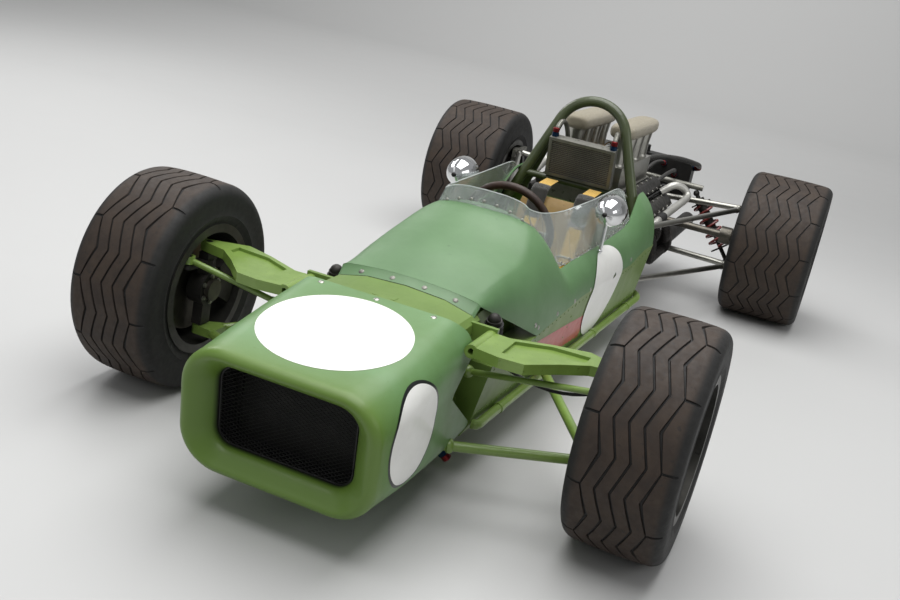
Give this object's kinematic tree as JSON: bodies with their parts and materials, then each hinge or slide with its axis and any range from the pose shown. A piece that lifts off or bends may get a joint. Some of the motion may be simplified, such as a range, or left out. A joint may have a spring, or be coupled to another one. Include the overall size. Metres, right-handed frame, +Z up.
{
  "type": "open wheel racing car",
  "caption": "Single seat open wheel racing car with a riveted tub, moulded nose and cowl, clear screen, roll hoop and exposed rear engine; its wheels roll and the front pair steers.",
  "frame": {"origin": "on the ground, below the middle of the car's box", "axes": "+X forward, +Y to the car's left, +Z up"},
  "size_m": [3.49, 1.73, 0.8544],
  "materials": {
    "nose_paint": "faded sage green paint on moulded glass fibre",
    "cowl_paint": "faded green paint on moulded glass fibre",
    "tub_paint": "yellow green paint on riveted sheet",
    "arm_paint": "yellow green paint on steel",
    "pipe_paint": "yellow green paint on tube",
    "hoop_paint": "dark olive paint",
    "mesh_black": "black mesh",
    "radiator_black": "black painted core",
    "cooler_alloy": "plain alloy core",
    "clear": "clear sheet",
    "chrome": "bright plated",
    "dash_black": "black crackle",
    "seat_cloth": "tan padded cover",
    "webbing": "yellow woven strap",
    "grip_leather": "dark brown leather",
    "alloy": "cast alloy",
    "engine_metal": "engine castings",
    "cover_black": "dark crackle covers",
    "trumpet_alloy": "spun alloy",
    "exhaust_black": "black heat paint",
    "tank_black": "black tank",
    "link_steel": "plated steel rods",
    "damper_gold": "gold damper bodies",
    "spring_red": "dark red springs",
    "upright_metal": "dark castings",
    "disc_iron": "turned iron",
    "rim_metal": "dark cast wheel",
    "tyre": "scrubbed tread rubber",
    "hose_rubber": "black brake hose"
  },
  "bodies": {
    "chassis": {"nose_cone": "nose_paint", "cockpit_cowl": "cowl_paint", "tub": "tub_paint", "front_upper_arms": "arm_paint", "front_lower_wishbones": "arm_paint", "side_pipes": "pipe_paint", "roll_hoop": "hoop_paint", "grille_mesh": "mesh_black", "front_radiator": "radiator_black", "hoop_cooler": "cooler_alloy", "windscreen": "clear", "mirrors": "chrome", "dash_panel": "dash_black", "seat": "seat_cloth", "harness": "webbing", "steering_rack": "alloy", "rear_uprights": "alloy", "gearbox": "alloy", "engine_block": "engine_metal", "cam_covers": "cover_black", "intake_trumpets": "trumpet_alloy", "exhausts": "exhaust_black", "rear_oil_tank": "tank_black", "rear_links": "link_steel", "dampers": "damper_gold", "springs": "spring_red", "brake_hose_left": "hose_rubber", "brake_hose_right": "hose_rubber"},
    "knuckle_left": {"upright_left": "upright_metal"},
    "knuckle_right": {"upright_right": "upright_metal"},
    "steering": {"steering_wheel": "grip_leather"},
    "rack": {"tie_rods": "arm_paint"},
    "wheel_front_left": {"disc_front_left": "disc_iron", "rim_front_left": "rim_metal", "tyre_front_left": "tyre"},
    "wheel_front_right": {"disc_front_right": "disc_iron", "rim_front_right": "rim_metal", "tyre_front_right": "tyre"},
    "wheel_rear_left": {"half_shaft_left": "disc_iron", "rim_rear_left": "rim_metal", "tyre_rear_left": "tyre"},
    "wheel_rear_right": {"half_shaft_right": "disc_iron", "rim_rear_right": "rim_metal", "tyre_rear_right": "tyre"}
  },
  "joints": [
    {"name": "steer_left", "type": "hinge", "parent": "chassis", "child": "knuckle_left", "pos_m": [1.155, 0.575, 0.29], "axis": [0, 0, 1], "range_deg": [-15, 15], "deforming": ["brake_hose_left"]},
    {"name": "steer_right", "type": "hinge", "parent": "chassis", "child": "knuckle_right", "pos_m": [1.155, -0.575, 0.29], "axis": [0, 0, 1], "range_deg": [-15, 15], "deforming": ["brake_hose_right"]},
    {"name": "steering_turn", "type": "hinge", "parent": "chassis", "child": "steering", "pos_m": [0.395, 0, 0.492], "axis": [-0.9659, 0, 0.2588], "range_deg": [-150, 150]},
    {"name": "rack_slide", "type": "slide", "parent": "chassis", "child": "rack", "axis": [0, 1, 0], "range_m": [-0.0235, 0.0235]},
    {"name": "spin_front_left", "type": "hinge", "parent": "knuckle_left", "child": "wheel_front_left", "pos_m": [1.155, 0.675, 0.29], "axis": [0, 1, 0], "continuous": true},
    {"name": "spin_front_right", "type": "hinge", "parent": "knuckle_right", "child": "wheel_front_right", "pos_m": [1.155, -0.675, 0.29], "axis": [0, 1, 0], "continuous": true},
    {"name": "spin_rear_left", "type": "hinge", "parent": "chassis", "child": "wheel_rear_left", "pos_m": [-1.245, 0.7, 0.308], "axis": [0, 1, 0], "continuous": true},
    {"name": "spin_rear_right", "type": "hinge", "parent": "chassis", "child": "wheel_rear_right", "pos_m": [-1.245, -0.7, 0.308], "axis": [0, 1, 0], "continuous": true}
  ],
  "couplings": [
    {"joint": "steer_right", "follows": "steer_left", "ratio": 1},
    {"joint": "steering_turn", "follows": "steer_left", "ratio": 10},
    {"joint": "rack_slide", "follows": "steer_left", "m_per_rad": 0.087}
  ]
}
